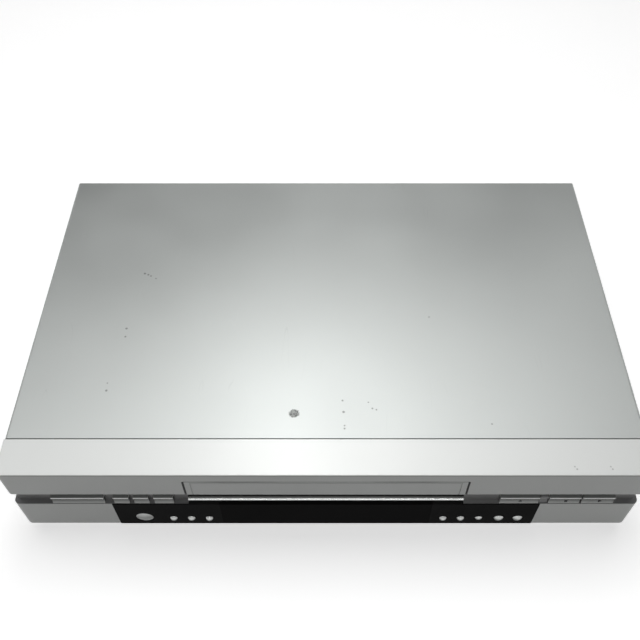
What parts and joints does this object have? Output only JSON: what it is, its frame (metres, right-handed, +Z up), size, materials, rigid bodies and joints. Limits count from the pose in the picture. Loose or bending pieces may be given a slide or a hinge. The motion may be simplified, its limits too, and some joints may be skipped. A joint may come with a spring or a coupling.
{
  "type": "video cassette recorder",
  "caption": "Silver video cassette recorder with a hinged cassette door, slot and window buttons, and a full tape deck inside.",
  "frame": {"origin": "centre of the overall box, at the level of the feet's soles", "axes": "+X to the right as seen from the front, -Y towards the front panel, +Z up"},
  "size_m": [0.43, 0.2876, 0.085],
  "materials": {
    "silver_paint": "satin metallic silver paint on sheet steel",
    "silver_plastic": "satin metallic silver moulding",
    "bright_plastic": "bright silver-plated moulding",
    "dark_grey_plastic": "dark grey moulding",
    "black_window": "glossy smoked black sheet",
    "chassis_steel": "zinc-plated sheet steel",
    "screw_steel": "blackened steel",
    "bright_steel": "polished steel",
    "foot_rubber": "black rubber",
    "black_plastic": "black moulding",
    "gear_plastic": "white acetal",
    "circuit_board": "brown laminate board",
    "component_black": "moulded components",
    "tube_glass": "display tube glass",
    "drum_aluminium": "turned aluminium",
    "worm_brass": "turned brass",
    "roller_rubber": "ground rubber",
    "ferrite": "ferrite and taped coil",
    "jack_plastic": "socket housing with plated barrels"
  },
  "bodies": {
    "cabinet": {"top_cover": "silver_paint", "cover_screws": "screw_steel", "front_panel": "silver_plastic", "slot_strip": "dark_grey_plastic", "display_window": "black_window", "base_chassis": "chassis_steel", "rear_panel": "chassis_steel", "feet": "foot_rubber", "front_board": "circuit_board", "key_switches": "component_black", "display_tube": "tube_glass", "main_board": "circuit_board", "main_parts": "component_black", "av_jacks": "jack_plastic", "tuner_module": "chassis_steel", "power_board": "circuit_board", "transformer": "ferrite", "mains_inlet": "black_plastic", "deck_plate": "chassis_steel", "drum_base": "drum_aluminium", "capstan_motor": "chassis_steel", "drive_belt": "roller_rubber", "erase_head": "bright_steel", "audio_head": "bright_steel", "loading_motor": "bright_steel", "carriage_frame": "chassis_steel"},
    "door": {"cassette_door": "silver_plastic", "door_spring": "bright_steel"},
    "power_button": {"power_button": "bright_plastic"},
    "channel_down_button": {"channel_down_button": "bright_plastic"},
    "channel_up_button": {"channel_up_button": "bright_plastic"},
    "review_button": {"review_button": "bright_plastic"},
    "eject_button": {"eject_button": "bright_plastic"},
    "stop_button": {"stop_button": "bright_plastic"},
    "play_button": {"play_button": "bright_plastic"},
    "jog_button": {"jog_button": "bright_plastic"},
    "rewind_button": {"rewind_button": "bright_plastic"},
    "pause_button": {"pause_button": "bright_plastic"},
    "forward_button": {"forward_button": "bright_plastic"},
    "menu_button": {"menu_button": "bright_plastic"},
    "speed_button": {"speed_button": "bright_plastic"},
    "record_button": {"record_button": "bright_plastic"},
    "tracking_down_button": {"tracking_down_button": "bright_plastic"},
    "tracking_up_button": {"tracking_up_button": "bright_plastic"},
    "slides": {"lift_slides": "chassis_steel"},
    "holder": {"cassette_holder": "chassis_steel"},
    "drum": {"upper_drum": "drum_aluminium"},
    "capstan": {"capstan": "bright_steel"},
    "pinch_arm": {"pinch_arm": "chassis_steel"},
    "pinch_roller": {"pinch_roller": "roller_rubber"},
    "supply_reel": {"supply_reel": "gear_plastic"},
    "takeup_reel": {"takeup_reel": "gear_plastic"},
    "clutch": {"clutch_pulley": "gear_plastic"},
    "idler_arm": {"idler_arm": "chassis_steel"},
    "idler_wheel": {"idler_wheel": "roller_rubber"},
    "tension_arm": {"tension_arm": "bright_steel"},
    "supply_guide": {"supply_guide": "black_plastic"},
    "takeup_guide": {"takeup_guide": "black_plastic"},
    "worm": {"worm": "worm_brass"},
    "cam_gear": {"cam_gear": "gear_plastic"}
  },
  "joints": [
    {"name": "door_hinge", "type": "hinge", "parent": "cabinet", "child": "door", "pos_m": [0, -0.1386, 0.0729], "axis": [1, 0, 0], "range_deg": [0, 88], "stiffness_Nm_per_rad": 0.008, "springref_deg": -34.38},
    {"name": "power_button_press", "type": "slide", "parent": "cabinet", "child": "power_button", "axis": [0, 1, 0], "range_m": [0, 0.0008], "stiffness_N_per_m": 600, "springref_m": -0.0005},
    {"name": "channel_down_button_press", "type": "slide", "parent": "cabinet", "child": "channel_down_button", "axis": [0, 1, 0], "range_m": [0, 0.0008], "stiffness_N_per_m": 600, "springref_m": -0.0005},
    {"name": "channel_up_button_press", "type": "slide", "parent": "cabinet", "child": "channel_up_button", "axis": [0, 1, 0], "range_m": [0, 0.0008], "stiffness_N_per_m": 600, "springref_m": -0.0005},
    {"name": "review_button_press", "type": "slide", "parent": "cabinet", "child": "review_button", "axis": [0, 1, 0], "range_m": [0, 0.0008], "stiffness_N_per_m": 600, "springref_m": -0.0005},
    {"name": "eject_button_press", "type": "slide", "parent": "cabinet", "child": "eject_button", "axis": [0, 1, 0], "range_m": [0, 0.0008], "stiffness_N_per_m": 600, "springref_m": -0.0005},
    {"name": "stop_button_press", "type": "slide", "parent": "cabinet", "child": "stop_button", "axis": [0, 1, 0], "range_m": [0, 0.0008], "stiffness_N_per_m": 600, "springref_m": -0.0005},
    {"name": "play_button_press", "type": "slide", "parent": "cabinet", "child": "play_button", "axis": [0, 1, 0], "range_m": [0, 0.0008], "stiffness_N_per_m": 600, "springref_m": -0.0005},
    {"name": "jog_button_press", "type": "slide", "parent": "cabinet", "child": "jog_button", "axis": [0, 1, 0], "range_m": [0, 0.0006], "stiffness_N_per_m": 500, "springref_m": -0.0005},
    {"name": "rewind_button_press", "type": "slide", "parent": "cabinet", "child": "rewind_button", "axis": [0, 1, 0], "range_m": [0, 0.0006], "stiffness_N_per_m": 500, "springref_m": -0.0005},
    {"name": "pause_button_press", "type": "slide", "parent": "cabinet", "child": "pause_button", "axis": [0, 1, 0], "range_m": [0, 0.0006], "stiffness_N_per_m": 500, "springref_m": -0.0005},
    {"name": "forward_button_press", "type": "slide", "parent": "cabinet", "child": "forward_button", "axis": [0, 1, 0], "range_m": [0, 0.0006], "stiffness_N_per_m": 500, "springref_m": -0.0005},
    {"name": "menu_button_press", "type": "slide", "parent": "cabinet", "child": "menu_button", "axis": [0, 1, 0], "range_m": [0, 0.0006], "stiffness_N_per_m": 500, "springref_m": -0.0005},
    {"name": "speed_button_press", "type": "slide", "parent": "cabinet", "child": "speed_button", "axis": [0, 1, 0], "range_m": [0, 0.0006], "stiffness_N_per_m": 500, "springref_m": -0.0005},
    {"name": "record_button_press", "type": "slide", "parent": "cabinet", "child": "record_button", "axis": [0, 1, 0], "range_m": [0, 0.0006], "stiffness_N_per_m": 500, "springref_m": -0.0005},
    {"name": "tracking_down_button_press", "type": "slide", "parent": "cabinet", "child": "tracking_down_button", "axis": [0, 1, 0], "range_m": [0, 0.0006], "stiffness_N_per_m": 500, "springref_m": -0.0005},
    {"name": "tracking_up_button_press", "type": "slide", "parent": "cabinet", "child": "tracking_up_button", "axis": [0, 1, 0], "range_m": [0, 0.0006], "stiffness_N_per_m": 500, "springref_m": -0.0005},
    {"name": "holder_in", "type": "slide", "parent": "cabinet", "child": "slides", "axis": [0, 1, 0], "range_m": [0, 0.062]},
    {"name": "holder_down", "type": "slide", "parent": "slides", "child": "holder", "axis": [0, 0, -1], "range_m": [0, 0.0199]},
    {"name": "drum_spin", "type": "hinge", "parent": "cabinet", "child": "drum", "pos_m": [0, 0.0394, 0.029], "axis": [0.0872, 0, 0.9962], "continuous": true},
    {"name": "capstan_spin", "type": "hinge", "parent": "cabinet", "child": "capstan", "pos_m": [0.062, 0.014, 0], "axis": [0, 0, 1], "continuous": true},
    {"name": "clutch_spin", "type": "hinge", "parent": "cabinet", "child": "clutch", "pos_m": [0, -0.0726, 0], "axis": [0, 0, 1], "continuous": true},
    {"name": "idler_swing", "type": "hinge", "parent": "cabinet", "child": "idler_arm", "pos_m": [0, -0.0726, 0], "axis": [0, 0, 1], "range_deg": [-40, 40]},
    {"name": "idler_spin", "type": "hinge", "parent": "idler_arm", "child": "idler_wheel", "pos_m": [0, -0.0486, 0], "axis": [0, 0, 1], "continuous": true},
    {"name": "supply_reel_spin", "type": "hinge", "parent": "cabinet", "child": "supply_reel", "pos_m": [-0.04675, -0.0616, 0], "axis": [0, 0, 1], "continuous": true},
    {"name": "takeup_reel_spin", "type": "hinge", "parent": "cabinet", "child": "takeup_reel", "pos_m": [0.04675, -0.0616, 0], "axis": [0, 0, 1], "continuous": true},
    {"name": "pinch_swing", "type": "hinge", "parent": "cabinet", "child": "pinch_arm", "pos_m": [0.092, 0.016, 0], "axis": [0, 0, 1], "range_deg": [-36.95, 0]},
    {"name": "pinch_roller_spin", "type": "hinge", "parent": "pinch_arm", "child": "pinch_roller", "pos_m": [0.0769, -0.0068, 0], "axis": [0, 0, 1], "continuous": true},
    {"name": "tension_swing", "type": "hinge", "parent": "cabinet", "child": "tension_arm", "pos_m": [-0.084, 0.004, 0], "axis": [0, 0, 1], "range_deg": [0, 46]},
    {"name": "supply_guide_slide", "type": "slide", "parent": "cabinet", "child": "supply_guide", "axis": [-0.1214, 0.9926, 0], "range_m": [0, 0.06588]},
    {"name": "takeup_guide_slide", "type": "slide", "parent": "cabinet", "child": "takeup_guide", "axis": [0.1214, 0.9926, 0], "range_m": [0, 0.06588]},
    {"name": "cam_turn", "type": "hinge", "parent": "cabinet", "child": "cam_gear", "pos_m": [-0.072, 0.056, 0], "axis": [0, 0, 1], "range_deg": [0, 270]},
    {"name": "worm_turn", "type": "hinge", "parent": "cabinet", "child": "worm", "pos_m": [-0.072, 0.0772, 0.0265], "axis": [1, 0, 0], "range_deg": [0, 9720]}
  ],
  "couplings": [
    {"joint": "clutch_spin", "follows": "capstan_spin", "ratio": 0.53898},
    {"joint": "idler_spin", "follows": "capstan_spin", "ratio": -0.5528},
    {"joint": "worm_turn", "follows": "cam_turn", "ratio": 36},
    {"joint": "supply_guide_slide", "follows": "cam_turn", "m_per_rad": 0.01398},
    {"joint": "takeup_guide_slide", "follows": "cam_turn", "m_per_rad": 0.01398},
    {"joint": "pinch_swing", "follows": "cam_turn", "ratio": -0.13685},
    {"joint": "tension_swing", "follows": "cam_turn", "ratio": 0.17037}
  ]
}
